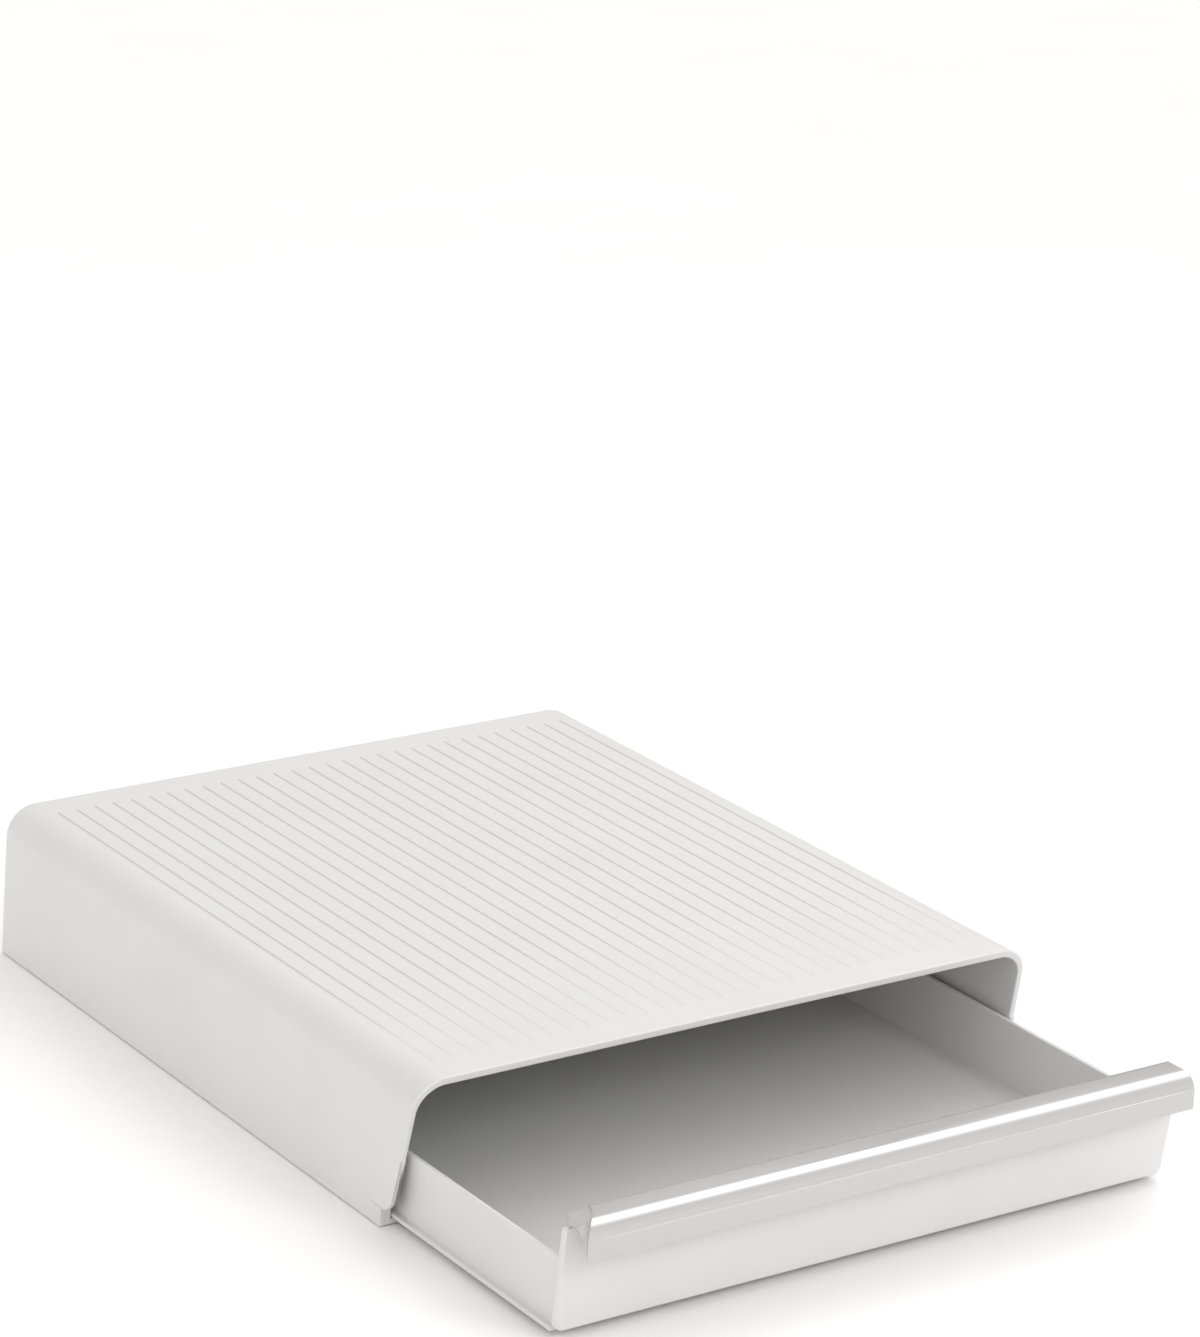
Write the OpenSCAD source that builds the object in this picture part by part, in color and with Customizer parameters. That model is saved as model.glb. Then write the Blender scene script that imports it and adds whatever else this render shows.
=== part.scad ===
// Low storage drawer for single-serve coffee pods, under a platform that
// carries a coffee machine. All lengths are in millimetres.
//
// Axes: X runs across the front, Y from front to back, Z upwards.
// The origin is on the table, under the middle of the whole object with the
// drawer standing open as far as drawer_open says.

/* [Housing] */
// Width across the feet, outside
housing_width = 276; // [240:1:340]
// Depth of the top, from its front edge to the back
housing_depth = 320; // [305:1:360]
// Height of the shell above the bottom of its side walls
housing_height = 61.5; // [58:0.5:90]
// Thickness of the side walls
side_wall = 2.4; // [1.8:0.1:3]
// Thickness of the top
top_wall = 3.2; // [2:0.1:4]
// Thickness of the back wall
back_wall = 2.4; // [1.6:0.1:4]
// Angle by which each side wall spreads outwards towards the table
side_spread = 2.9; // [1:0.1:4]
// Outer radius between the top and the side walls
shoulder_radius = 13; // [9:0.5:18]
// Angle by which the front edges of the side walls fall back
front_rake = 13.5; // [5:0.5:20]
// Height of the square foot under the curved front edge
foot_height = 7; // [6:0.5:9]
// Radius where the front edge turns back onto the foot
foot_radius = 7.5; // [3:0.5:12]

/* [Grooves in the top] */
// Number of grooves, even so that the middle stays flat
groove_count = 30; // [2:2:34]
// Distance from one groove to the next
groove_pitch = 8.25; // [6:0.05:8.5]
// Width of one groove
groove_width = 1; // [0.6:0.1:2]
// Depth of one groove
groove_depth = 0.6; // [0.3:0.1:1]
// Flat margin in front of and behind the grooves
groove_margin = 14.5; // [5:0.5:40]

/* [Runner rails] */
// Thickness of the upright part of a rail
rail_web = 2.2; // [1.4:0.1:3]
// Width of the ledge that carries the drawer
rail_ledge = 4; // [3:0.1:6]
// Thickness of that ledge
rail_ledge_thick = 2; // [1.6:0.1:3]

/* [Feet] */
// Length of one rubber foot
foot_pad_length = 18; // [8:1:40]
// Width of one rubber foot
foot_pad_width = 4.4; // [3:0.1:4.8]
// Thickness of one rubber foot
foot_pad_thick = 1.5; // [1:0.1:1.8]
// How far a rubber foot stands out under the rail
foot_pad_proud = 0.5; // [0.3:0.1:0.8]
// Distance from a rail's end to the middle of its nearest rubber foot
foot_pad_inset = 22; // [15:1:60]

/* [Drawer] */
// Length of the drawer, from the foot of its front panel to its back
drawer_length = 302; // [260:1:302]
// How far the drawer stands open at rest
drawer_open = 103; // [90:1:150]
// Height of the tray's side and back walls
tray_height = 28.2; // [15:0.1:34]
// Thickness of the tray's walls
tray_wall = 1.8; // [1.2:0.1:2.4]
// Thickness of the tray's floor
tray_floor = 2; // [1.2:0.1:3]
// Angle by which the tray's walls spread outwards towards the top
tray_spread = 2.5; // [0:0.1:3]
// Width of the flange along each side of the tray
flange_width = 2.6; // [1.5:0.1:3.4]
// Thickness of that flange
flange_thick = 1.8; // [1.2:0.1:2.4]

/* [Front panel] */
// Length of the panel's face, measured up its slope
panel_height = 40.8; // [34:0.1:44]
// Thickness of the panel
panel_thick = 3; // [2:0.1:4]
// Angle by which the panel leans forwards
panel_lean = 8; // [0:0.5:12]
// Radius of the panel's lower corners
panel_corner = 4; // [2:0.5:12]

/* [Handle] */
// Distance from the foot of the panel forwards to the face of the handle
handle_reach = 16.3; // [13:0.1:22]
// Depth of the grip, from the top of the handle to its lower edge
handle_drop = 13.1; // [9:0.1:20]
// Rise of the handle over the panel's upper edge
handle_rise = 5.2; // [4:0.1:8]
// Thickness of the clear core
core_wall = 2; // [1.2:0.1:2.6]
// Outer radius along the handle's upper front edge
handle_radius = 6.5; // [3:0.1:8]
// Thickness of the lip that hooks behind the panel
hook_thick = 1.9; // [1.2:0.1:3]
// Height of that lip
hook_height = 5; // [3:0.5:12]
// Radius of the core's left corner behind the panel
core_corner = 6; // [1:0.5:10]
// Thickness of the silver trim
trim_thick = 0.5; // [0.3:0.1:1]
// Length of bare core at each end of the trim
trim_setback = 1; // [0.5:0.1:6]
// Length of the slanting cut in the trim's left corner
trim_cut = 10; // [2:0.5:20]
// Height of the fine ridge along the trim, over the lower edge of the handle
trim_ridge_rise = 7.8; // [3:0.1:10]
// How far that ridge stands out
trim_ridge = 0.2; // [0.1:0.05:0.4]

/* [Clearances] */
// Play between the flange's edge and the rail
slide_side_gap = 0.4; // [0.2:0.1:1]
// Play between the drawer and the ledge that carries it
slide_under_gap = 0.3; // [0.2:0.1:0.6]
// Play between the drawer's back and the housing when shut
shut_gap = 0.4; // [0.3:0.1:2]
// Play between the front panel and the rails on each side
panel_side_gap = 0.6; // [0.4:0.1:2]
// Distance from each end of the handle in to the panel's side edge
handle_end_gap = 0.8; // [0:0.1:4]
// Play around a rubber foot in its pocket
foot_pad_gap = 0.1; // [0.05:0.05:0.2]

/* [Hidden] */
$fn = 48;
// Room by which a cutting shape passes the face that it cuts
cut_over = 1;

// Heights
shell_base = foot_pad_proud;
shell_top = shell_base + housing_height;
ledge_top = shell_base + rail_ledge_thick;
drawer_base = ledge_top + slide_under_gap;
tray_top = drawer_base + tray_height;

// Places along Y
overall_length = handle_reach + trim_ridge + drawer_length
               + drawer_open + shut_gap + back_wall;
back_y = overall_length / 2;
back_inside_y = back_y - back_wall;
drawer_back_y = back_inside_y - shut_gap - drawer_open;
panel_foot_y = drawer_back_y - drawer_length;
top_front_y = back_y - housing_depth;

// The housing's inner half width at its lower edge, and what runs inside it
inner_half = housing_width / 2 - side_wall / cos(side_spread);
web_half = inner_half - rail_web;
ledge_half = web_half - rail_ledge;
flange_half = web_half - slide_side_gap;
tray_half = flange_half - flange_width;
panel_half = web_half - panel_side_gap;
handle_half = panel_half - handle_end_gap;

// Front edge of the housing: the straight raked part passes above the foot,
// and an arc of foot_radius is tangent to it and to the foot's top
foot_top = shell_base + foot_height;
foot_arc_z = foot_top + foot_radius;
foot_front_y = raked_y(foot_arc_z) + foot_radius / cos(front_rake);
rail_length = back_inside_y - foot_front_y;
foot_pad_x = (ledge_half + web_half) / 2;
front_pad_y = foot_front_y + foot_pad_inset;
back_pad_y = back_inside_y - foot_pad_inset;

// Upper edge of the leaning front panel, as [y, z]
panel_top_front = [panel_foot_y - panel_height * sin(panel_lean),
                   drawer_base + panel_height * cos(panel_lean)];
panel_top_back = panel_top_front + panel_thick * [cos(panel_lean), sin(panel_lean)];
hook_foot = panel_top_back + hook_height * [sin(panel_lean), -cos(panel_lean)];

// Handle
handle_top = panel_top_front[1] + handle_rise;
core_top = handle_top - trim_thick;
core_front_y = panel_foot_y - handle_reach + trim_thick;
core_back_y = panel_top_back[0] + hook_thick;
core_radius = handle_radius - trim_thick;
handle_foot = handle_top - handle_drop;
ridge_z = handle_foot + trim_ridge_rise;

// Y of the housing's raked front edge at height z
function raked_y(z) = top_front_y + tan(front_rake) * (shell_top - z);

// Draws its 2D child, given in X and Z, from y_from back to y_to
module along_y(y_from, y_to) {
  translate([0, y_to, 0]) rotate([90, 0, 0])
    linear_extrude(height = y_to - y_from) children();
}

// Draws its 2D child, given in Y and Z, across X from -half to half
module across_x(half) {
  translate([-half, 0, 0]) rotate([90, 0, 90])
    linear_extrude(height = 2 * half) children();
}

// Outline of the housing in X and Z, moved inwards by side_inset and top_inset
module arch_outline(side_inset, top_inset, radius, base) {
  half = housing_width / 2 - side_inset / cos(side_spread)
       - tan(side_spread) * (base - shell_base);
  top = shell_top - top_inset;
  centre_z = top - radius;
  centre_x = half - tan(side_spread) * (centre_z - base) - radius / cos(side_spread);
  tangent_x = centre_x + radius * cos(side_spread);
  tangent_z = centre_z + radius * sin(side_spread);
  polygon([
    [-half, base], [half, base], [tangent_x, tangent_z], [centre_x, centre_z],
    [centre_x, top], [-centre_x, top], [-centre_x, centre_z], [-tangent_x, tangent_z]
  ]);
  for (side = [-1, 1])
    translate([side * centre_x, centre_z]) circle(r = radius);
}

// Outline of the housing in Y and Z: raked front edge, rounded onto the foot
module side_outline() {
  tangent_y = foot_front_y - foot_radius * cos(front_rake);
  tangent_z = foot_arc_z - foot_radius * sin(front_rake);
  polygon([
    [foot_front_y, shell_base], [back_y, shell_base], [back_y, shell_top],
    [top_front_y, shell_top], [tangent_y, tangent_z], [foot_front_y, foot_arc_z]
  ]);
  translate([foot_front_y, foot_arc_z]) circle(r = foot_radius);
}

module housing_shell() {
  color("whitesmoke") difference() {
    intersection() {
      along_y(top_front_y - cut_over, back_y)
        arch_outline(0, 0, shoulder_radius, shell_base);
      across_x(housing_width) side_outline();
    }
    along_y(top_front_y - 2 * cut_over, back_inside_y)
      arch_outline(side_wall, top_wall, shoulder_radius - side_wall, shell_base - cut_over);
    top_grooves();
  }
}

module top_grooves() {
  for (i = [0 : groove_count - 1])
    translate([(i - (groove_count - 1) / 2) * groove_pitch - groove_width / 2,
               top_front_y + groove_margin, shell_top - groove_depth])
      cube([groove_width, housing_depth - 2 * groove_margin, groove_depth + cut_over]);
}

// L-shaped rail along the right side wall: the web stands against the wall,
// and the drawer's flange slides on the ledge
module rail() {
  web_top_half = inner_half - tan(side_spread) * foot_height;
  difference() {
    along_y(foot_front_y, back_inside_y) polygon([
      [ledge_half, shell_base], [inner_half, shell_base], [web_top_half, foot_top],
      [web_half, foot_top], [web_half, ledge_top], [ledge_half, ledge_top]
    ]);
    for (y = [front_pad_y, back_pad_y])
      translate([foot_pad_x, y, shell_base - cut_over])
        oblong(foot_pad_gap, foot_pad_thick - foot_pad_proud + cut_over);
  }
}

// Rubber foot or its pocket: a bar with round ends, grown by gap
module oblong(gap, height) {
  radius = foot_pad_width / 2 + gap;
  reach = foot_pad_length / 2 - foot_pad_width / 2;
  for (end = [-1, 1])
    translate([0, end * reach, 0]) cylinder(r = radius, h = height);
  translate([-radius, -reach, 0]) cube([2 * radius, 2 * reach, height]);
}

module foot_pad(side, y) {
  color("lightgray") translate([side * foot_pad_x, y, 0])
    oblong(0, foot_pad_thick);
}

module right_runner_rail() { color("gainsboro") rail(); }
module left_runner_rail() { color("gainsboro") mirror([1, 0, 0]) rail(); }
module front_left_foot() { foot_pad(-1, front_pad_y); }
module front_right_foot() { foot_pad(1, front_pad_y); }
module back_left_foot() { foot_pad(-1, back_pad_y); }
module back_right_foot() { foot_pad(1, back_pad_y); }

// Solid that fills the tray's outside, or its hollow when wall and floor are given
module tray_block(wall, floor) {
  base = drawer_base + floor;
  top = floor > 0 ? tray_top + cut_over : tray_top;
  low_half = tray_half - wall + tan(tray_spread) * floor;
  high_half = low_half + tan(tray_spread) * (top - base);
  high_back = drawer_back_y - wall + tan(tray_spread) * (top - tray_top);
  low_back = high_back - tan(tray_spread) * (top - base);
  front = panel_top_front[0] - cut_over;
  intersection() {
    along_y(front, high_back + cut_over) polygon([
      [-low_half, base], [low_half, base], [high_half, top], [-high_half, top]
    ]);
    across_x(high_half + cut_over) polygon([
      [front, base], [low_back, base], [high_back, top], [front, top]
    ]);
  }
}

// Space in front of the tray: everything before the panel's back face
module before_panel_back() {
  translate([0, panel_foot_y, drawer_base]) rotate([panel_lean, 0, 0])
    translate([-housing_width, panel_thick - housing_width, -tray_height])
      cube([2 * housing_width, housing_width, 4 * tray_height]);
}

module drawer_tray() {
  flange_back_y = drawer_back_y - tan(tray_spread) * tray_height;
  color("white") difference() {
    union() {
      tray_block(0, 0);
      translate([-flange_half, panel_foot_y, drawer_base])
        cube([2 * flange_half, flange_back_y - panel_foot_y, flange_thick]);
    }
    tray_block(tray_wall, tray_floor);
    before_panel_back();
  }
}

module front_panel() {
  color("white") translate([0, panel_foot_y, drawer_base]) rotate([panel_lean, 0, 0])
    translate([0, panel_thick, 0]) rotate([90, 0, 0])
      linear_extrude(height = panel_thick) {
        translate([-panel_half, panel_corner])
          square([2 * panel_half, panel_height - panel_corner]);
        translate([-panel_half + panel_corner, 0])
          square([2 * (panel_half - panel_corner), panel_height]);
        for (side = [-1, 1])
          translate([side * (panel_half - panel_corner), panel_corner])
            circle(r = panel_corner);
      }
}

// Block in Y and Z, from front to the handle's back, with its upper front edge rounded
module bullnose(front, foot, back, top, radius) {
  translate([front, foot]) square([back - front, top - radius - foot]);
  translate([front + radius, foot]) square([back - front - radius, top - foot]);
  translate([front + radius, top - radius]) circle(r = radius);
}

// The clear core's section: grip wall, top, and a hook over the panel's edge
module core_section() {
  heel_y = panel_top_front[0];
  below = handle_foot - cut_over;
  behind = core_back_y + cut_over;
  difference() {
    bullnose(core_front_y, handle_foot, core_back_y, core_top, core_radius);
    bullnose(core_front_y + core_wall, below, heel_y,
             core_top - core_wall, core_radius - core_wall);
    polygon([
      [heel_y - cut_over, below], [heel_y - cut_over, panel_top_front[1]],
      panel_top_front, panel_top_back, hook_foot,
      [behind, hook_foot[1]], [behind, below]
    ]);
  }
}

// The silver trim's section: a thin strip over the core's top and front
module trim_section() {
  face_y = core_front_y - trim_thick;
  ridge_root = trim_ridge + trim_thick / 2;
  difference() {
    union() {
      bullnose(face_y, handle_foot, core_back_y, handle_top, handle_radius);
      polygon([
        [face_y - trim_ridge, ridge_z],
        [face_y - trim_ridge + ridge_root, ridge_z - 2 * ridge_root],
        [face_y - trim_ridge + ridge_root, ridge_z + 2 * ridge_root]
      ]);
    }
    bullnose(core_front_y, handle_foot - cut_over, core_back_y + cut_over,
             core_top, core_radius);
  }
}

module handle_core() {
  color("gainsboro", 0.5) difference() {
    across_x(handle_half) core_section();
    translate([-handle_half, core_back_y - core_corner, hook_foot[1] - cut_over])
      difference() {
        translate([-cut_over, 0, 0])
          cube([core_corner + cut_over, core_corner + cut_over, handle_drop + cut_over]);
        translate([core_corner, 0, -cut_over])
          cylinder(r = core_corner, h = handle_drop + 4 * cut_over);
      }
  }
}

module handle_trim() {
  trim_half = handle_half - trim_setback;
  color("silver") difference() {
    across_x(trim_half) trim_section();
    translate([0, 0, core_top - core_radius]) linear_extrude(height = handle_drop)
      polygon([
        [-trim_half - cut_over, core_front_y],
        [-trim_half, core_front_y],
        [-trim_half + trim_cut, core_back_y],
        [-trim_half + trim_cut, core_back_y + cut_over],
        [-trim_half - cut_over, core_back_y + cut_over]
      ]);
  }
}

housing_shell();
left_runner_rail();
right_runner_rail();
front_left_foot();
front_right_foot();
back_left_foot();
back_right_foot();
drawer_tray();
front_panel();
handle_core();
handle_trim();
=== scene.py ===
import math

import bmesh
import bpy
from mathutils import Matrix, Vector


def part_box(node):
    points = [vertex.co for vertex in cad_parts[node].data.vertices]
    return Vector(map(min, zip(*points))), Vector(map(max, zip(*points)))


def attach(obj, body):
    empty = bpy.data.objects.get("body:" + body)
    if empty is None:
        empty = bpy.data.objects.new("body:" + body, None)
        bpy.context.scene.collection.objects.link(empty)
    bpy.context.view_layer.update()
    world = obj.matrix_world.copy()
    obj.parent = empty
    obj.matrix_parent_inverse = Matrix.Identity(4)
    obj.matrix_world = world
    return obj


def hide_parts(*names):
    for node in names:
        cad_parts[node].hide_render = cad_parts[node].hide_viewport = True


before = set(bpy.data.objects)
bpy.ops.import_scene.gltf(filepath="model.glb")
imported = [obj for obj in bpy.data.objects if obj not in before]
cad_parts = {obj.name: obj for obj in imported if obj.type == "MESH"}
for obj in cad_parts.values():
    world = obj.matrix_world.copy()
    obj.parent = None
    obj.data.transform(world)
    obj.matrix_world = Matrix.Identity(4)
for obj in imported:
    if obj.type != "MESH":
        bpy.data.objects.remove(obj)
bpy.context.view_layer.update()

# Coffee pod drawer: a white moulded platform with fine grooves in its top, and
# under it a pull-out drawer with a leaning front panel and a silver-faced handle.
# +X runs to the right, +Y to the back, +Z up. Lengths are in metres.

MM = 0.001

# ---------------------------------------------------------------------------
# Sizes. What a node's box gives is read from its mesh in model.glb.
# ---------------------------------------------------------------------------

SHELL_LOW, SHELL_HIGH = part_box("housing_shell")
PANEL_LOW, PANEL_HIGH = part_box("front_panel")
TRIM_LOW, TRIM_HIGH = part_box("handle_trim")

# How near an edge is to a face that it counts as lying in, the cosine over which
# it counts as parallel to an axis, and the angle from which it is rounded
NEAR = 0.1 * MM
PARALLEL = 0.99
SHARP_EDGE = math.radians(25)

# Points this near to each other are one, in a new mesh and in a node's, whose
# triangles join into one face within the angle
WELD = 0.002 * MM
NODE_WELD = 0.005 * MM
NODE_FLAT = math.radians(0.5)

# Housing. Its raked front edge rounds back onto the foot of the side wall.
SIDE_WALL = 2.4 * MM
TOP_WALL = 3.2 * MM
BACK_WALL = 2.4 * MM
SHOULDER_RADIUS = 13 * MM
SIDE_SPREAD = math.radians(2.9)
FRONT_RAKE = math.radians(13.5)
FOOT_TOP = SHELL_LOW.z + 7 * MM
FOOT_RADIUS = 7.5 * MM
FOOT_STEPS = 9

# Heights of the mesh lines along its side walls, and where the shoulder's arc
# stops and the field of grooves begins
WALL_LINES = (20 * MM, 30 * MM, 40 * MM)
SHOULDER_STOP = math.radians(80)
SHOULDER_STEPS = 12

# Rounding of the housing's edges
FRONT_EDGE_RADIUS = 0.7 * MM
BACK_EDGE_RADIUS = 1.2 * MM
BACK_FOOT_RADIUS = 0.4 * MM
INNER_CORNER_RADIUS = 0.6 * MM
FOOT_EDGE_RADIUS = 0.25 * MM

# Grooves in its top. The flank is the share of a groove's half width over which
# its side slopes softly. The grooves grow deeper from the front over the run-out.
GROOVE_COUNT = 30
GROOVE_PITCH = 8.25 * MM
GROOVE_HALF = 0.65 * MM
GROOVE_FLANK = 0.7
GROOVE_DEPTH = 0.5 * MM
GROOVE_FRONT_DEPTH = 0.18 * MM
GROOVE_RUN_OUT = 90 * MM
GROOVE_MARGIN = 14.5 * MM
GROOVE_FRONT = SHELL_LOW.y + GROOVE_MARGIN + GROOVE_HALF
GROOVE_BACK = SHELL_HIGH.y - GROOVE_MARGIN - GROOVE_HALF

# Mesh lines of a groove, as shares of its half width, and of its run-out
GROOVE_LINES = (0, 0.3, 0.45, 0.6, 0.75, 0.88, 1)
RUN_OUT_LINES = 8

# Front panel
PANEL_THICK = 3 * MM
PANEL_LEAN = math.radians(8)
PANEL_CORNER = 4 * MM
PANEL_TOP_CORNER = 0.8 * MM
PANEL_SIDE_RADIUS = 2.6 * MM
PANEL_FOOT_RADIUS = 1.2 * MM
PANEL_TOP_RADIUS = 0.5 * MM
PANEL_BACK_RADIUS = 0.5 * MM
PANEL_CORNER_STEPS = 10
PANEL_EDGE_STEPS = 6

# Silver strip of the handle. Its left end draws in by STRIP_CUT over the top.
STRIP_THICK = 0.5 * MM
STRIP_RADIUS = 6.5 * MM
STRIP_CUT = 10 * MM
STRIP_CUT_BOW = 1.5
STRIP_STATIONS = 26
STRIP_TOP_STEPS = 8
STRIP_BEND_STEPS = 18

# The ridge along the strip: its height above the strip's foot, how far it stands
# out, and its section as heights with shares of that. Its upper flank is steep,
# its lower one runs out.
RIDGE_RISE = 7.8 * MM
RIDGE = 0.2 * MM
STRIP_FRONT = TRIM_LOW.y + RIDGE
RIDGE_SECTION = ((0.18 * MM, 0), (0.1 * MM, 0.3), (0.04 * MM, 0.9), (-0.05 * MM, 1),
                 (-0.25 * MM, 0.8), (-0.55 * MM, 0.25), (-0.8 * MM, 0))
RIDGE_REACH = 1 * MM
BEND_ENDS_ABOVE_RIDGE = 0.48 * MM

# The ridge's size on the left, and the shares of the strip's length between which
# it grows to its full size
FAINT_RIDGE = 0.4
RIDGE_GROWS_FROM = 0.76
RIDGE_GROWN_BY = 0.86

# Rounding of the other pieces' edges
RAIL_EDGE_RADIUS = 0.2 * MM
PAD_EDGE_RADIUS = 0.35 * MM
TRAY_EDGE_RADIUS = 0.5 * MM
TRAY_SEAM_RADIUS = 0.05 * MM
CORE_EDGE_RADIUS = 0.5 * MM
STRIP_EDGE_RADIUS = 0.14 * MM

# The photograph: the size of its frame, its optical middle and its focal length,
# in pixels, and its camera as it was solved from the object's straight edges
PHOTO_WIDTH, PHOTO_HEIGHT = 1200, 1337
PHOTO_MIDDLE = (590.5, 669.5)
FOCAL_PIXELS = 4735
SENSOR_MM = 36
CAMERA_AZIMUTH = math.radians(-33.60)
CAMERA_ELEVATION = math.radians(18.34)
CAMERA_ROLL = math.radians(1.73)
CAMERA_TARGET = Vector((13.5, 14.45, 155.2)) * MM
CAMERA_DISTANCE = 1796.15 * MM

# Glows of the light tent: where each one comes from, its strength, and the
# cosines of the angles from there at which it starts and is full. The key draws
# the highlight along the handle, and the others tell the faces apart.
TENT_WHITE = 0.5
WHITE_GLOWS = {
    "key": ((0.525, 0.35, 0.775), 1.24, 0.81, 0.98),
    "front": ((0, -0.96, 0.28), 0.33, -0.7, 0.4),
    "front_right": ((0.6, -0.62, 0.5), 0.2, 0.6, 0.95),
    "front_left": ((-0.35, -0.92, 0.15), 0.22, 0.35, 0.95)}
WARM_GLOW = ((-0.95, -0.2, 0.15), 0.42, 0.2, 0.95)

FLOOR_REACH = 4.0


# ---------------------------------------------------------------------------
# Numbers, nodes and colours
# ---------------------------------------------------------------------------

def evenly(start, end, steps):
    """The numbers from start to end, both included, in equal steps."""
    return [start + (end - start) * i / steps for i in range(steps + 1)]


def smooth_step(t):
    """Runs from 0 to 1 with soft ends as t does."""
    t = min(max(t, 0), 1)
    return t * t * (3 - 2 * t)


def linear(hex_code):
    """Linear RGBA of an sRGB hex colour."""
    channels = [int(hex_code[i:i + 2], 16) / 255 for i in (1, 3, 5)]
    straight = [c / 12.92 if c <= 0.04045 else ((c + 0.055) / 1.055) ** 2.4 for c in channels]
    return (*straight, 1)


def add_node(tree, kind, inputs=None, **settings):
    """Adds a node with its settings; inputs holds a value or a socket for each input."""
    node = tree.nodes.new(kind)
    for name, value in settings.items():
        setattr(node, name, value)
    for key, value in (inputs or {}).items():
        if isinstance(value, bpy.types.NodeSocket):
            tree.links.new(value, node.inputs[key])
        else:
            node.inputs[key].default_value = value
    return node


def start_material(name):
    """A material with an empty tree; returns it, its tree and its object coordinates."""
    material = bpy.data.materials.new(name)
    material.use_nodes = True
    tree = material.node_tree
    tree.nodes.clear()
    coordinates = add_node(tree, "ShaderNodeTexCoord").outputs["Object"]
    return material, tree, coordinates


def pattern(tree, coordinates, size, detail=2.0, stretch=(1, 1, 1)):
    """Noise whose grain measures size in metres, drawn out along the axes by
    stretch. Returns it as it is, from about 0.3 to 0.7, and spread from 0 to 1."""
    scale = Vector([1 / (size * s) for s in stretch])
    placed = add_node(tree, "ShaderNodeMapping", {"Vector": coordinates, "Scale": scale})
    noise = add_node(tree, "ShaderNodeTexNoise",
                     {"Vector": placed.outputs[0], "Scale": 1.0, "Detail": detail})
    spread = add_node(tree, "ShaderNodeMapRange", {
        "Value": noise.outputs["Fac"], "From Min": 0.3, "From Max": 0.7})
    return noise.outputs["Fac"], spread.outputs[0]


# ---------------------------------------------------------------------------
# Materials
# ---------------------------------------------------------------------------

def moulded_abs(name, roughness, grain_depth):
    """White ABS, injection moulded: an even, slightly warm white with a satin
    sheen. The tone drifts very slightly over a few centimetres, as the melt
    cooled, and painted shade greys the grooves by their depth. A spark-eroded
    grain softens the reflections. It is drawn 0.45 mm wide, coarser than the
    real one, to show."""
    material, tree, place = start_material(name)
    drift = pattern(tree, place, 42 * MM)[1]
    grain = pattern(tree, place, 0.45 * MM, detail=3.0)[0]
    depth = add_node(tree, "ShaderNodeAttribute", attribute_name="groove_depth").outputs["Fac"]
    # Painted shade: the deeper the groove, the more the white is greyed towards #B4B3B2
    greying = add_node(tree, "ShaderNodeMapRange", {"Value": depth, "To Max": 0.2})
    tone = add_node(tree, "ShaderNodeMix", {
        0: drift, 6: linear("#D7D7D7"), 7: linear("#D4D4D3")}, data_type="RGBA")
    greyed = add_node(tree, "ShaderNodeMix", {
        0: greying.outputs[0], 6: tone.outputs[2], 7: linear("#B4B3B2")}, data_type="RGBA")
    gloss = add_node(tree, "ShaderNodeMapRange", {
        "Value": drift, "To Min": roughness - 0.03, "To Max": roughness + 0.04})
    bump = add_node(tree, "ShaderNodeBump", {
        "Strength": 0.35, "Distance": grain_depth, "Height": grain})
    shader = add_node(tree, "ShaderNodeBsdfPrincipled", {
        "Base Color": greyed.outputs[2],
        "Roughness": gloss.outputs[0],
        "IOR": 1.53,
        "Normal": bump.outputs[0]})
    add_node(tree, "ShaderNodeOutputMaterial", {"Surface": shader.outputs[0]})
    return material


def clear_acrylic():
    """Clear acrylic, moulded and polished: see-through, with a faint warm grey of
    its own. Its faces are almost clear and glossy. Where it turns away it is
    painted darker and more opaque, a painted dark rim in place of the refraction
    and inner reflection that darken the edges of thick acrylic."""
    material, tree, place = start_material("clear_acrylic_polished")
    ripple, spread_ripple = pattern(tree, place, 9 * MM, detail=1.0)
    bump = add_node(tree, "ShaderNodeBump", {
        "Strength": 0.15, "Distance": 0.05 * MM, "Height": ripple})
    turned = add_node(tree, "ShaderNodeLayerWeight", {"Blend": 0.5, "Normal": bump.outputs[0]})
    rim = add_node(tree, "ShaderNodeMapRange", {
        "Value": turned.outputs["Facing"], "From Min": 0.62, "From Max": 0.95})
    # Painted dark rim: the colour darkens where the surface turns away, in place of refraction and
    # inner reflection
    tint_with_painted_rim = add_node(tree, "ShaderNodeMix", {
        0: rim.outputs[0], 6: linear("#CFCBC6"), 7: linear("#8B8783")}, data_type="RGBA")
    polish = add_node(tree, "ShaderNodeMapRange", {
        "Value": spread_ripple, "To Min": 0.04, "To Max": 0.09})
    density = add_node(tree, "ShaderNodeMapRange", {
        "Value": rim.outputs[0], "To Min": 0.2, "To Max": 0.85})
    shader = add_node(tree, "ShaderNodeBsdfPrincipled", {
        "Base Color": tint_with_painted_rim.outputs[2],
        "Roughness": polish.outputs[0],
        "IOR": 1.49,
        "Alpha": density.outputs[0],
        "Coat Weight": 1.0,
        "Coat Roughness": 0.04,
        "Coat IOR": 2.0,
        "Normal": bump.outputs[0]})
    add_node(tree, "ShaderNodeOutputMaterial", {"Surface": shader.outputs[0]})
    return material


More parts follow.
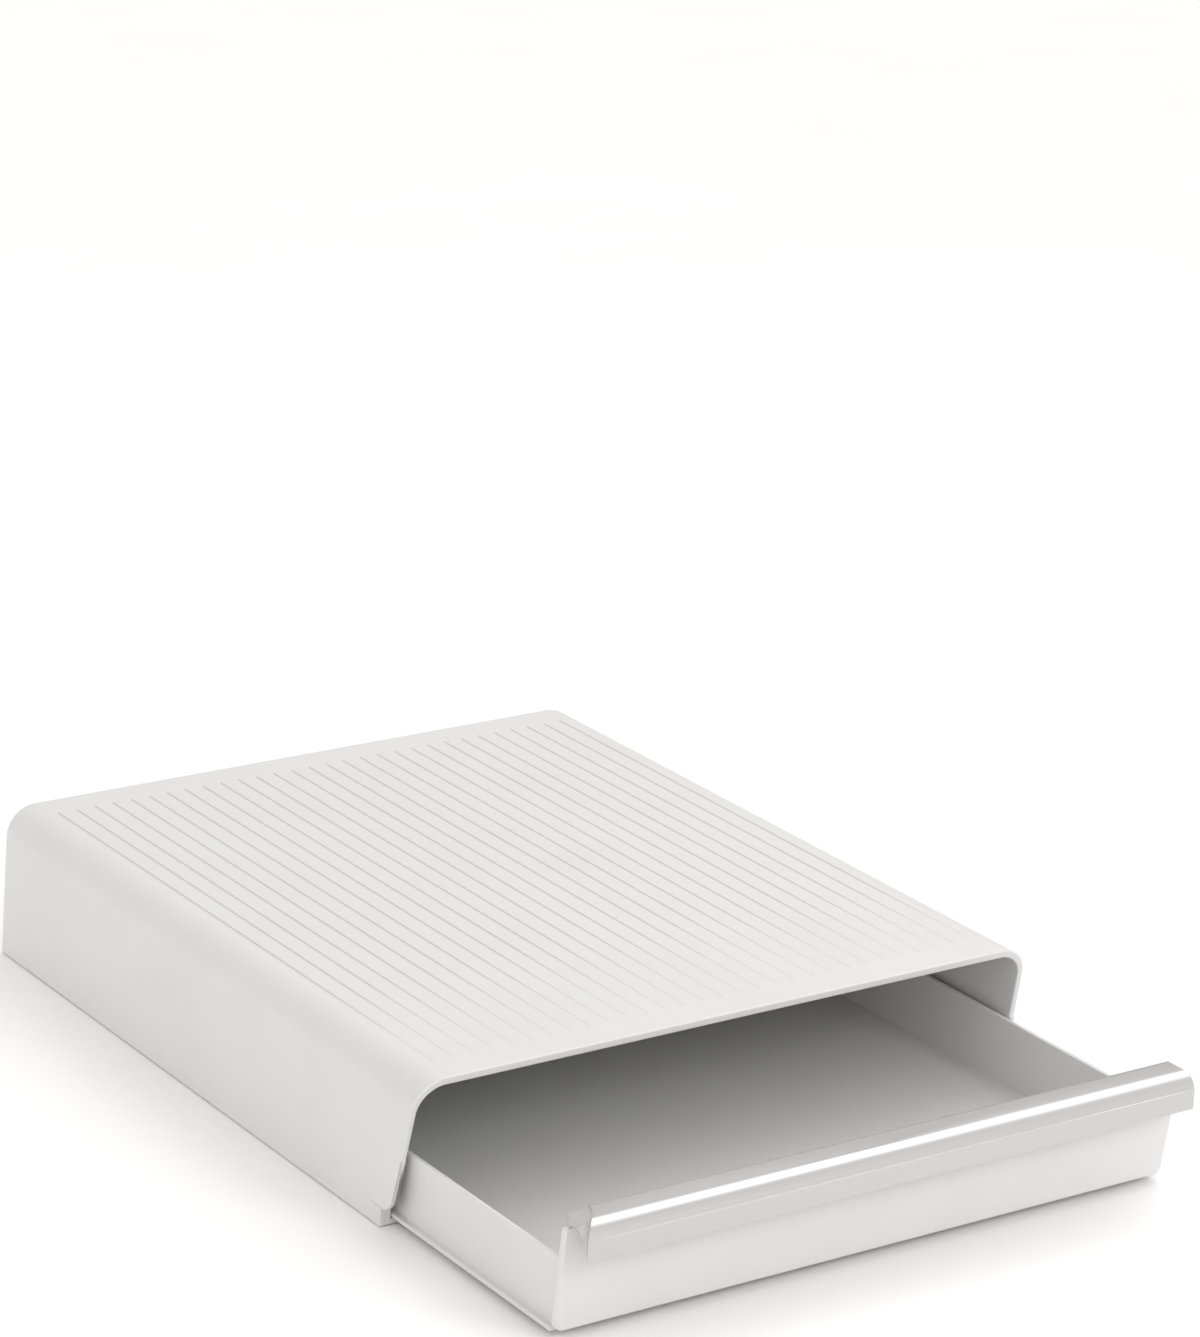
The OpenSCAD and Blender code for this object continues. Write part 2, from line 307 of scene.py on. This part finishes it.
def brushed_silver():
    """Aluminium foil, brushed along the handle: a pale silver with hair-fine
    lines along X that draw each highlight out across the handle. The lines are
    drawn 0.3 mm wide, coarser than the real ones, so that they show."""
    material, tree, place = start_material("aluminium_foil_brushed")
    lines, spread_lines = pattern(tree, place, 0.3 * MM, stretch=(400, 1, 1))
    clouds = pattern(tree, place, 18 * MM, stretch=(4, 1, 1))[1]
    tone = add_node(tree, "ShaderNodeMix", {
        0: spread_lines, 6: linear("#CAC9C7"), 7: linear("#C7C6C4")}, data_type="RGBA")
    gloss = add_node(tree, "ShaderNodeMapRange", {
        "Value": clouds, "To Min": 0.19, "To Max": 0.24})
    bump = add_node(tree, "ShaderNodeBump", {
        "Strength": 0.06, "Distance": 0.02 * MM, "Height": lines})
    shader = add_node(tree, "ShaderNodeBsdfPrincipled", {
        "Base Color": tone.outputs[2],
        "Roughness": gloss.outputs[0],
        "Metallic": 1.0,
        "Anisotropic": 0.5,
        "Normal": bump.outputs[0]})
    add_node(tree, "ShaderNodeOutputMaterial", {"Surface": shader.outputs[0]})
    return material


def matt_silicone():
    """Silicone rubber, compression moulded: a dull, milky grey, a little dusty.
    Its grain is drawn 0.3 mm wide, coarser than the real one, so that it shows."""
    material, tree, place = start_material("silicone_rubber_moulded")
    greying = pattern(tree, place, 3 * MM, detail=4.0)[1]
    grain = pattern(tree, place, 0.3 * MM)[0]
    tone = add_node(tree, "ShaderNodeMix", {
        0: greying, 6: linear("#C9C8C4"), 7: linear("#BDBBB6")}, data_type="RGBA")
    dullness = add_node(tree, "ShaderNodeMapRange", {
        "Value": greying, "To Min": 0.62, "To Max": 0.78})
    bump = add_node(tree, "ShaderNodeBump", {
        "Strength": 0.4, "Distance": 0.03 * MM, "Height": grain})
    shader = add_node(tree, "ShaderNodeBsdfPrincipled", {
        "Base Color": tone.outputs[2],
        "Roughness": dullness.outputs[0],
        "IOR": 1.41,
        "Normal": bump.outputs[0]})
    add_node(tree, "ShaderNodeOutputMaterial", {"Surface": shader.outputs[0]})
    return material


# ---------------------------------------------------------------------------
# Meshes
# ---------------------------------------------------------------------------

def new_object(name, mesh):
    piece = bpy.data.objects.new(name, mesh)
    bpy.context.scene.collection.objects.link(piece)
    return piece


def mesh_of(name, bm):
    """Turns a bmesh into a mesh and frees it."""
    mesh = bpy.data.meshes.new(name)
    bm.to_mesh(mesh)
    bm.free()
    return mesh


def as_plain_mesh(piece):
    """Replaces a piece's mesh by what its modifiers make of it."""
    graph = bpy.context.evaluated_depsgraph_get()
    finished = bpy.data.meshes.new_from_object(
        piece.evaluated_get(graph), preserve_all_data_layers=True, depsgraph=graph)
    piece.modifiers.clear()
    piece.data = finished
    return piece


def smoothly_shaded(piece, keep_sharp=False):
    """Shades a piece smoothly with its flat faces left flat, as a plain mesh.
    Shading breaks at the mesh's own sharp edges if they are kept."""
    piece.data.shade_smooth()
    normals = piece.modifiers.new("flat_faces_stay_flat", "WEIGHTED_NORMAL")
    normals.weight = 100
    normals.keep_sharp = keep_sharp
    return as_plain_mesh(piece)


def close_and_turn_out(bm):
    bmesh.ops.remove_doubles(bm, verts=bm.verts, dist=WELD)
    bmesh.ops.recalc_face_normals(bm, faces=bm.faces)


def rounded_piece(name, bm, radius_of, segments=3, keep_sharp=False):
    """Makes a piece of bm and rounds each sharp edge by the radius that radius_of
    gives for the edge's middle and direction, or not at all where that is 0."""
    weights = bm.edges.layers.float.new("bevel_weight_edge")
    radii = {}
    for edge in bm.edges:
        if len(edge.link_faces) == 2 and edge.calc_face_angle(0) > SHARP_EDGE:
            start, end = (v.co for v in edge.verts)
            radius = radius_of((start + end) / 2, (end - start).normalized())
            if radius:
                radii[edge] = radius
    largest = max(radii.values())
    for edge, radius in radii.items():
        edge[weights] = radius / largest
    piece = new_object(name, mesh_of(name, bm))
    bevel = piece.modifiers.new("rounded_edges", "BEVEL")
    bevel.limit_method = "WEIGHT"
    bevel.width = largest
    bevel.segments = segments
    bevel.use_clamp_overlap = False
    return smoothly_shaded(piece, keep_sharp)


def rounded_node(name, node, radius, segments=3):
    """A piece with a node's own shape, all its edges rounded by one radius."""
    return rounded_piece(name, solid_from_node(node), lambda middle, direction: radius, segments)


def solid_from_node(node):
    """A bmesh of a node's solid, with its triangles joined into whole faces."""
    bm = bmesh.new()
    bm.from_mesh(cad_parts[node].data)
    bmesh.ops.remove_doubles(bm, verts=bm.verts, dist=NODE_WELD)
    bmesh.ops.dissolve_limit(bm, angle_limit=NODE_FLAT, verts=bm.verts, edges=bm.edges)
    bmesh.ops.recalc_face_normals(bm, faces=bm.faces)
    return bm


def dress(piece, material, body, node):
    """Gives a piece its material, hangs it on its body and hides the node it stands for."""
    piece.data.materials.clear()
    piece.data.materials.append(material)
    piece.data.polygons.foreach_set("material_index", [0] * len(piece.data.polygons))
    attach(piece, body)
    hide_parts(node)


# ---------------------------------------------------------------------------
# Housing
# ---------------------------------------------------------------------------

def raked_edge(z):
    return SHELL_LOW.y + math.tan(FRONT_RAKE) * (SHELL_HIGH.z - z)


def front_edge(z):
    """Y of the housing's front edge at height z: raked, then rounded onto the foot."""
    arc_z = FOOT_TOP + FOOT_RADIUS
    foot_front = raked_edge(arc_z) + FOOT_RADIUS / math.cos(FRONT_RAKE)
    if z <= FOOT_TOP:
        return foot_front
    if z < arc_z - FOOT_RADIUS * math.sin(FRONT_RAKE):
        return foot_front - math.sqrt(FOOT_RADIUS ** 2 - (arc_z - z) ** 2)
    return raked_edge(z)


def groove_offsets():
    """X of a groove's mesh lines from its middle, closer together on its flanks."""
    right = [GROOVE_HALF * share for share in GROOVE_LINES]
    return [-x for x in reversed(right[1:])] + right


def groove_lines_along():
    """Y of the mesh lines across the grooves, with their rounded ends."""
    steps = [GROOVE_HALF * share for share in GROOVE_LINES]
    run_out = evenly(GROOVE_FRONT, GROOVE_FRONT + GROOVE_RUN_OUT, RUN_OUT_LINES)[1:]
    return ([SHELL_LOW.y] + [GROOVE_FRONT - s for s in reversed(steps)] + run_out
            + [GROOVE_BACK + s for s in steps] + [SHELL_HIGH.y])


def groove_depth(x, y):
    """Depth of a groove at x from its middle: a flat bottom, soft flanks and round
    ends, growing from the front backwards."""
    away = math.hypot(x, max(0, GROOVE_FRONT - y, y - GROOVE_BACK)) / GROOVE_HALF
    grown = smooth_step((y - GROOVE_FRONT) / GROOVE_RUN_OUT)
    deepest = GROOVE_FRONT_DEPTH + (GROOVE_DEPTH - GROOVE_FRONT_DEPTH) * grown
    return deepest * smooth_step((1 - away) / GROOVE_FLANK)


def groove_tile():
    """Mesh of one groove with half a land on each side of it."""
    offsets = [-GROOVE_PITCH / 2, *groove_offsets(), GROOVE_PITCH / 2]
    lines = groove_lines_along()
    points = [(x, y, SHELL_HIGH.z - groove_depth(x, y)) for x in offsets for y in lines]
    row = len(lines)
    corners = [i * row + j for i in range(len(offsets) - 1) for j in range(row - 1)]
    faces = [(first, first + row, first + row + 1, first + 1) for first in corners]
    mesh = bpy.data.meshes.new("groove_tile")
    mesh.from_pydata(points, [], faces)
    depth = mesh.attributes.new("groove_depth", "FLOAT", "POINT")
    depth.data.foreach_set("value", [(SHELL_HIGH.z - z) / GROOVE_DEPTH for x, y, z in points])
    return mesh


def groove_tree():
    """Geometry nodes that set one groove beside the next, centred on x = 0."""
    tree = bpy.data.node_groups.new("groove_field", "GeometryNodeTree")
    for name, kind in (("Geometry", "NodeSocketGeometry"), ("Groove Count", "NodeSocketInt"),
                       ("Groove Pitch", "NodeSocketFloat"), ("Material", "NodeSocketMaterial")):
        tree.interface.new_socket(name, in_out="INPUT", socket_type=kind)
    tree.interface.new_socket("Geometry", in_out="OUTPUT", socket_type="NodeSocketGeometry")
    given = add_node(tree, "NodeGroupInput").outputs
    gaps = add_node(tree, "ShaderNodeMath", {0: given["Groove Count"], 1: 1.0},
                    operation="SUBTRACT")
    width = add_node(tree, "ShaderNodeMath", {0: gaps.outputs[0], 1: given["Groove Pitch"]},
                     operation="MULTIPLY")
    start = add_node(tree, "ShaderNodeMath", {0: width.outputs[0], 1: -0.5},
                     operation="MULTIPLY")
    line = add_node(tree, "GeometryNodeMeshLine", {
        "Count": given["Groove Count"],
        "Start Location": add_node(tree, "ShaderNodeCombineXYZ", {0: start.outputs[0]}).outputs[0],
        "Offset": add_node(tree, "ShaderNodeCombineXYZ", {0: given["Groove Pitch"]}).outputs[0]})
    copies = add_node(tree, "GeometryNodeInstanceOnPoints", {
        "Points": line.outputs[0], "Instance": given["Geometry"]})
    real = add_node(tree, "GeometryNodeRealizeInstances", {0: copies.outputs[0]})
    coated = add_node(tree, "GeometryNodeSetMaterial", {
        "Geometry": real.outputs[0], "Material": given["Material"]})
    add_node(tree, "NodeGroupOutput", {0: coated.outputs[0]})
    return tree


def groove_field(material):
    """Mesh of all the grooves in the housing's top."""
    piece = new_object("groove_field", groove_tile())
    modifier = piece.modifiers.new("grooves", "NODES")
    modifier.node_group = groove_tree()
    values = {"Groove Count": GROOVE_COUNT, "Groove Pitch": GROOVE_PITCH, "Material": material}
    for item in modifier.node_group.interface.items_tree:
        if item.in_out == "INPUT" and item.name in values:
            modifier[item.identifier] = values[item.name]
    mesh = as_plain_mesh(piece).data
    bpy.data.objects.remove(piece)
    return mesh


def arch_side(side_inset, top, radius):
    """One side of the housing's arch, from its foot over the shoulder, as (x, z)."""
    base = SHELL_LOW.z
    half = SHELL_HIGH.x - side_inset / math.cos(SIDE_SPREAD)
    centre_z = top - radius
    centre_x = half - math.tan(SIDE_SPREAD) * (centre_z - base) - radius / math.cos(SIDE_SPREAD)
    foot_turn = [math.radians(turn) for turn in evenly(90, 180 - math.degrees(FRONT_RAKE), FOOT_STEPS)]
    heights = [base, FOOT_TOP]
    heights += [FOOT_TOP + FOOT_RADIUS * (1 - math.sin(a)) for a in foot_turn[1:]]
    heights += WALL_LINES
    wall = [(half - math.tan(SIDE_SPREAD) * (z - base), z) for z in heights]
    shoulder = [(centre_x + radius * math.cos(a), centre_z + radius * math.sin(a))
                for a in evenly(SIDE_SPREAD, SHOULDER_STOP, SHOULDER_STEPS)]
    return wall + shoulder


def arch_top(top):
    """The flat top of the housing's arch, from left to right, as (x, z) of each mesh
    line along the grooves."""
    middles = [(i - (GROOVE_COUNT - 1) / 2) * GROOVE_PITCH for i in range(GROOVE_COUNT)]
    columns = [middle + x for middle in middles for x in (-GROOVE_PITCH / 2, *groove_offsets())]
    columns.append(middles[-1] + GROOVE_PITCH / 2)
    return [(x, top) for x in columns]


def arch(side_inset, top_inset, radius):
    """The housing's arch from the left foot over to the right foot."""
    top = SHELL_HIGH.z - top_inset
    side = arch_side(side_inset, top, radius)
    return [(-x, z) for x, z in side] + arch_top(top) + side[::-1]


def shell_moulding(material):
    """The housing: one moulding of a grooved top, two side walls and a back wall."""
    bm = bmesh.new()
    bm.from_mesh(groove_field(material))
    outer = arch(0, 0, SHOULDER_RADIUS)
    inner = arch(SIDE_WALL, TOP_WALL, SHOULDER_RADIUS - SIDE_WALL)
    side_count = (len(outer) - len(arch_top(0))) // 2
    depth = SHELL_HIGH.y - SHELL_LOW.y
    shares = [(y - SHELL_LOW.y) / depth for y in groove_lines_along()]
    inner_back = SHELL_HIGH.y - BACK_WALL

    def outer_row(x, z):
        front = front_edge(z)
        return [bm.verts.new((x, front + s * (SHELL_HIGH.y - front), z)) for s in shares]

    def inner_row(x, z):
        return [bm.verts.new((x, y, z)) for y in (front_edge(z), inner_back)]

    outside = [outer_row(x, z) for x, z in outer]
    inside = [inner_row(x, z) for x, z in inner]
    for i in range(len(outer) - 1):
        if not side_count <= i < len(outer) - 1 - side_count:
            for j in range(len(shares) - 1):
                bm.faces.new((outside[i][j], outside[i + 1][j],
                              outside[i + 1][j + 1], outside[i][j + 1]))
        bm.faces.new((inside[i][0], inside[i + 1][0], inside[i + 1][1], inside[i][1]))
        bm.faces.new((outside[i][0], outside[i + 1][0], inside[i + 1][0], inside[i][0]))
    bm.faces.new([row[-1] for row in outside])
    bm.faces.new([row[-1] for row in inside])
    for end in (0, -1):
        bm.faces.new([*outside[end], inside[end][1], inside[end][0]])
    bm.faces.new((outside[0][-1], inside[0][1], inside[-1][1], outside[-1][-1]))
    close_and_turn_out(bm)
    loose = [v for v in bm.verts if not v.link_faces]
    bmesh.ops.delete(bm, geom=loose, context="VERTS")

    def radius_of(middle, direction):
        if middle.y > SHELL_HIGH.y - NEAR:
            return BACK_FOOT_RADIUS if middle.z < SHELL_LOW.z + NEAR else BACK_EDGE_RADIUS
        if middle.y > inner_back - NEAR:
            return INNER_CORNER_RADIUS
        if middle.z < FOOT_TOP + NEAR:
            return FOOT_EDGE_RADIUS
        if SHELL_LOW.y + GROOVE_MARGIN / 2 < middle.y < SHELL_HIGH.y - GROOVE_MARGIN / 2:
            if abs(direction.y) < PARALLEL or middle.z > SHELL_HIGH.z - TOP_WALL / 2:
                return 0
        return FRONT_EDGE_RADIUS

    return rounded_piece("shell_moulding", bm, radius_of, segments=4)


# ---------------------------------------------------------------------------
# Drawer
# ---------------------------------------------------------------------------

def tray_moulding():
    """The tray: all its edges rounded, those at the panel so little that the seam
    stays tight."""
    def radius_of(middle, direction):
        return TRAY_SEAM_RADIUS if middle.y < PANEL_HIGH.y + NEAR else TRAY_EDGE_RADIUS

    return rounded_piece("tray_moulding", solid_from_node("drawer_tray"), radius_of, segments=4)


def panel_point(across, up, deep):
    """A point of the leaning panel, deep measured from its front face backwards."""
    foot_y = PANEL_HIGH.y - PANEL_THICK * math.cos(PANEL_LEAN)
    return (across,
            foot_y + deep * math.cos(PANEL_LEAN) - up * math.sin(PANEL_LEAN),
            PANEL_LOW.z + deep * math.sin(PANEL_LEAN) + up * math.cos(PANEL_LEAN))


def panel_moulding():
    """The front panel: a leaning plate whose front edges are rounded, most at its sides."""
    half = PANEL_HIGH.x
    upright = PANEL_HIGH.z - PANEL_LOW.z - PANEL_THICK * math.sin(PANEL_LEAN)
    height = upright / math.cos(PANEL_LEAN)
    corners = ((half - PANEL_CORNER, PANEL_CORNER, PANEL_CORNER, -90),
               (half - PANEL_TOP_CORNER, height - PANEL_TOP_CORNER, PANEL_TOP_CORNER, 0),
               (-half + PANEL_TOP_CORNER, height - PANEL_TOP_CORNER, PANEL_TOP_CORNER, 90),
               (-half + PANEL_CORNER, PANEL_CORNER, PANEL_CORNER, 180))
    outline = [(x, up, radius, math.radians(start + turn)) for x, up, radius, start in corners
               for turn in evenly(0, 90, PANEL_CORNER_STEPS)]
    quarter = [math.radians(turn) for turn in evenly(0, 90, PANEL_EDGE_STEPS)]
    bm = bmesh.new()

    def front_radius(up, angle):
        """Radius of the front edge at height up, where the outline faces angle."""
        if up > height / 2:
            return PANEL_TOP_RADIUS
        sideways = math.cos(angle) ** 2
        radius = PANEL_FOOT_RADIUS + (PANEL_SIDE_RADIUS - PANEL_FOOT_RADIUS) * sideways
        return min(radius, PANEL_THICK - PANEL_BACK_RADIUS)

    def ring(turn, at_front):
        """The outline, drawn in and set back as the rounded edge is after a turn."""
        made = []
        for x, up, radius, angle in outline:
            if at_front:
                edge = front_radius(up, angle)
                inset, deep = edge * (1 - math.sin(turn)), edge * (1 - math.cos(turn))
            else:
                inset = PANEL_BACK_RADIUS * (1 - math.cos(turn))
                deep = PANEL_THICK - PANEL_BACK_RADIUS * (1 - math.sin(turn))
            reach = radius - inset
            point = panel_point(x + reach * math.cos(angle), up + reach * math.sin(angle), deep)
            made.append(bm.verts.new(point))
        return made

    rings = [ring(turn, at_front) for at_front in (True, False) for turn in quarter]
    for lower, upper in zip(rings, rings[1:]):
        for i in range(len(outline)):
            k = (i + 1) % len(outline)
            bm.faces.new((lower[i], lower[k], upper[k], upper[i]))
    bm.faces.new(rings[0])
    bm.faces.new(rings[-1])
    close_and_turn_out(bm)
    return smoothly_shaded(new_object("panel_moulding", mesh_of("panel_moulding", bm)))


def strip_section(fold):
    """The silver strip's outer and inner lines as (y, z), from its back edge over
    the top and down the front to its lower edge, its ridge fold times full size."""
    back, top, foot = TRIM_HIGH.y, TRIM_HIGH.z, TRIM_LOW.z
    ridge_z = foot + RIDGE_RISE
    centre_y, centre_z = STRIP_FRONT + STRIP_RADIUS, top - STRIP_RADIUS
    last_turn = math.asin((ridge_z + BEND_ENDS_ABOVE_RIDGE - centre_z) / STRIP_RADIUS)

    def surface(z, inset):
        """Y of the strip at height z on its bend or face, without the ridge."""
        radius = STRIP_RADIUS - inset
        return centre_y - math.sqrt(radius ** 2 - min(radius, max(0, z - centre_z)) ** 2)

    def line(inset, ridge):
        radius = STRIP_RADIUS - inset
        flat = [(y, top - inset) for y in evenly(back, centre_y, STRIP_TOP_STEPS)[:-1]]
        bend = [(centre_y - radius * math.cos(a), centre_z + radius * math.sin(a))
                for a in evenly(math.pi / 2, last_turn, STRIP_BEND_STEPS)]
        heights = [(ridge_z + rise * fold, share * fold * ridge) for rise, share in RIDGE_SECTION]
        crest = [(surface(z, inset) - out, z) for z, out in heights]
        below = [(surface(z, inset), z) for z in (centre_z, centre_z - 2 * MM, foot)]
        return flat + bend + crest + below

    return line(0, RIDGE), line(STRIP_THICK, 0)


def strip_left_end(y):
    """X of the strip's left end at depth y: square on its face, then drawn in on
    a curve round the bend and over the top."""
    share = min(1, max(0, (y - STRIP_FRONT) / (TRIM_HIGH.y - STRIP_FRONT)))
    return TRIM_LOW.x + STRIP_CUT * (1 - (1 - share) ** STRIP_CUT_BOW)


def silver_strip():
    """The handle's silver face, a thin strip bent over the clear core. The ridge
    along it is faint, and grows near the right end."""
    rings = []
    for length in evenly(0, 1, STRIP_STATIONS):
        grown = smooth_step((length - RIDGE_GROWS_FROM) / (RIDGE_GROWN_BY - RIDGE_GROWS_FROM))
        outer, inner = strip_section(FAINT_RIDGE + (1 - FAINT_RIDGE) * grown)
        rings.append(outer + inner[::-1])
    bm = bmesh.new()

    def row(points):
        """Mesh line along the strip, through its point (y, z) at each station."""
        made = []
        for station, (y, z) in enumerate(points):
            left = strip_left_end(y)
            x = left + (TRIM_HIGH.x - left) * station / STRIP_STATIONS
            made.append(bm.verts.new((x, y, z)))
        return made

    loop = [row(points) for points in zip(*rings)]
    count = len(loop)
    for i in range(count):
        k = (i + 1) % count
        for j in range(STRIP_STATIONS):
            bm.faces.new((loop[i][j], loop[k][j], loop[k][j + 1], loop[i][j + 1]))
    for i in range(len(outer) - 1):
        other = count - 1 - i
        for end in (0, -1):
            bm.faces.new((loop[i][end], loop[i + 1][end], loop[other - 1][end], loop[other][end]))
    # The ridge's steep flank keeps its own shine, between two crisp edges
    flank = STRIP_TOP_STEPS + STRIP_BEND_STEPS + 2
    for crisp in loop[flank:flank + 2]:
        for pair in zip(crisp, crisp[1:]):
            bm.edges.get(pair).smooth = False
    close_and_turn_out(bm)

    def radius_of(middle, direction):
        at_ridge = abs(middle.z - TRIM_LOW.z - RIDGE_RISE) < RIDGE_REACH
        return 0 if at_ridge and abs(direction.x) > PARALLEL else STRIP_EDGE_RADIUS

    return rounded_piece("silver_strip", bm, radius_of, segments=2, keep_sharp=True)


# ---------------------------------------------------------------------------
# Stage: camera, light and floor
# ---------------------------------------------------------------------------

def photo_camera():
    """Camera at the photograph's viewing angle, worked out for its frame."""
    back = Vector((math.sin(CAMERA_AZIMUTH) * math.cos(CAMERA_ELEVATION),
                   -math.cos(CAMERA_AZIMUTH) * math.cos(CAMERA_ELEVATION),
                   math.sin(CAMERA_ELEVATION)))
    level = (-back).cross(Vector((0, 0, 1))).normalized()
    upright = level.cross(-back)
    right = level * math.cos(CAMERA_ROLL) + upright * math.sin(CAMERA_ROLL)
    up = upright * math.cos(CAMERA_ROLL) - level * math.sin(CAMERA_ROLL)
    long_side = max(PHOTO_WIDTH, PHOTO_HEIGHT)
    lens = bpy.data.cameras.new("photo_camera")
    lens.sensor_width = SENSOR_MM
    lens.lens = FOCAL_PIXELS / long_side * SENSOR_MM
    lens.shift_x = (PHOTO_WIDTH / 2 - PHOTO_MIDDLE[0]) / long_side
    lens.shift_y = (PHOTO_MIDDLE[1] - PHOTO_HEIGHT / 2) / long_side
    camera = bpy.data.objects.new("photo_camera", lens)
    bpy.context.scene.collection.objects.link(camera)
    camera.matrix_world = (Matrix.Translation(CAMERA_TARGET + back * CAMERA_DISTANCE)
                           @ Matrix((right, up, back)).transposed().to_4x4())
    bpy.context.scene.camera = camera


def soft_light(name, place, aim, side, watts, in_gloss=True):
    """A square softbox at place, turned towards aim. The camera doesn't see it, nor
    do glossy surfaces where in_gloss is off."""
    light = bpy.data.lights.new(name, "AREA")
    light.shape = "RECTANGLE"
    light.size = side
    light.size_y = side
    light.energy = watts
    lamp = bpy.data.objects.new(name, light)
    bpy.context.scene.collection.objects.link(lamp)
    lamp.location = place
    lamp.rotation_mode = "QUATERNION"
    lamp.rotation_quaternion = (Vector(aim) - Vector(place)).to_track_quat("-Z", "Y")
    lamp.visible_camera = False
    lamp.visible_glossy = in_gloss


def light_tent():
    """A white world that glows towards the lights, and warmly from the left."""
    world = bpy.data.worlds.new("light_tent")
    bpy.context.scene.world = world
    world.use_nodes = True
    tree = world.node_tree
    tree.nodes.clear()
    seen = add_node(tree, "ShaderNodeTexCoord").outputs["Generated"]

    def glow_towards(direction, strength, starts, full):
        """Strength of a glow that grows as the view turns towards direction."""
        turned = add_node(tree, "ShaderNodeVectorMath", {0: seen, 1: Vector(direction).normalized()},
                          operation="DOT_PRODUCT")
        grown = add_node(tree, "ShaderNodeMapRange", {
            "Value": turned.outputs["Value"], "From Min": starts, "From Max": full,
            "To Min": 0.0, "To Max": strength}, interpolation_type="SMOOTHSTEP")
        return grown.outputs[0]

    strength = TENT_WHITE
    for glow in WHITE_GLOWS.values():
        strength = add_node(tree, "ShaderNodeMath", {0: strength, 1: glow_towards(*glow)},
                            operation="ADD").outputs[0]
    white = add_node(tree, "ShaderNodeBackground", {
        "Color": linear("#FFFFFF"), "Strength": strength})
    warm = add_node(tree, "ShaderNodeBackground", {
        "Color": linear("#FFF3E8"), "Strength": glow_towards(*WARM_GLOW)})
    both = add_node(tree, "ShaderNodeAddShader", {0: white.outputs[0], 1: warm.outputs[0]})
    add_node(tree, "ShaderNodeOutputWorld", {"Surface": both.outputs[0]})


def paper_floor():
    """A pale, matt paper sheet, its tone drifting over 20 cm."""
    material, tree, place = start_material("studio_paper")
    tone = add_node(tree, "ShaderNodeMix", {
        0: pattern(tree, place, 200 * MM)[1], 6: linear("#F7F7F6"), 7: linear("#F5F5F4")},
        data_type="RGBA")
    shader = add_node(tree, "ShaderNodeBsdfPrincipled", {
        "Base Color": tone.outputs[2], "Roughness": 0.9})
    add_node(tree, "ShaderNodeOutputMaterial", {"Surface": shader.outputs[0]})
    mesh = bpy.data.meshes.new("floor")
    corners = [(x * FLOOR_REACH, y * FLOOR_REACH, 0) for x, y in ((-1, -1), (1, -1), (1, 1), (-1, 1))]
    mesh.from_pydata(corners, [], [(0, 1, 2, 3)])
    mesh.materials.append(material)
    floor = new_object("floor", mesh)


def studio():
    """A pale floor in the light tent, with one softbox high on the right and one
    low in front, which lights the panel and stays out of the handle's mirror."""
    light_tent()
    soft_light("key_softbox", (0.68, 0.24, 1.0), (0, 0, 0.03), side=0.6, watts=1.0)
    soft_light("front_softbox", (0.22, -0.86, 0.55), (0, -0.2, 0.03), side=0.24, watts=1.3,
               in_gloss=False)
    paper_floor()


# ---------------------------------------------------------------------------
# The object
# ---------------------------------------------------------------------------

photo_camera()
studio()
bpy.context.scene.view_settings.view_transform = "Standard"

shell_white = moulded_abs("white_abs_moulded_satin", 0.42, 0.02 * MM)
tray_white = moulded_abs("white_abs_moulded_smooth", 0.36, 0.01 * MM)
silver = brushed_silver()
acrylic = clear_acrylic()
rubber = matt_silicone()

dress(shell_moulding(shell_white), shell_white, "housing", "housing_shell")
for side in ("left", "right"):
    rail = rounded_node(side + "_rail_moulding", side + "_runner_rail", RAIL_EDGE_RADIUS, segments=2)
    dress(rail, tray_white, "housing", side + "_runner_rail")
for place in ("front_left", "front_right", "back_left", "back_right"):
    pad = rounded_node(place + "_pad", place + "_foot", PAD_EDGE_RADIUS)
    dress(pad, rubber, "housing", place + "_foot")
dress(tray_moulding(), tray_white, "drawer", "drawer_tray")
dress(panel_moulding(), tray_white, "drawer", "front_panel")
core = rounded_node("clear_core", "handle_core", CORE_EDGE_RADIUS)
dress(core, acrylic, "drawer", "handle_core")
dress(silver_strip(), silver, "drawer", "handle_trim")
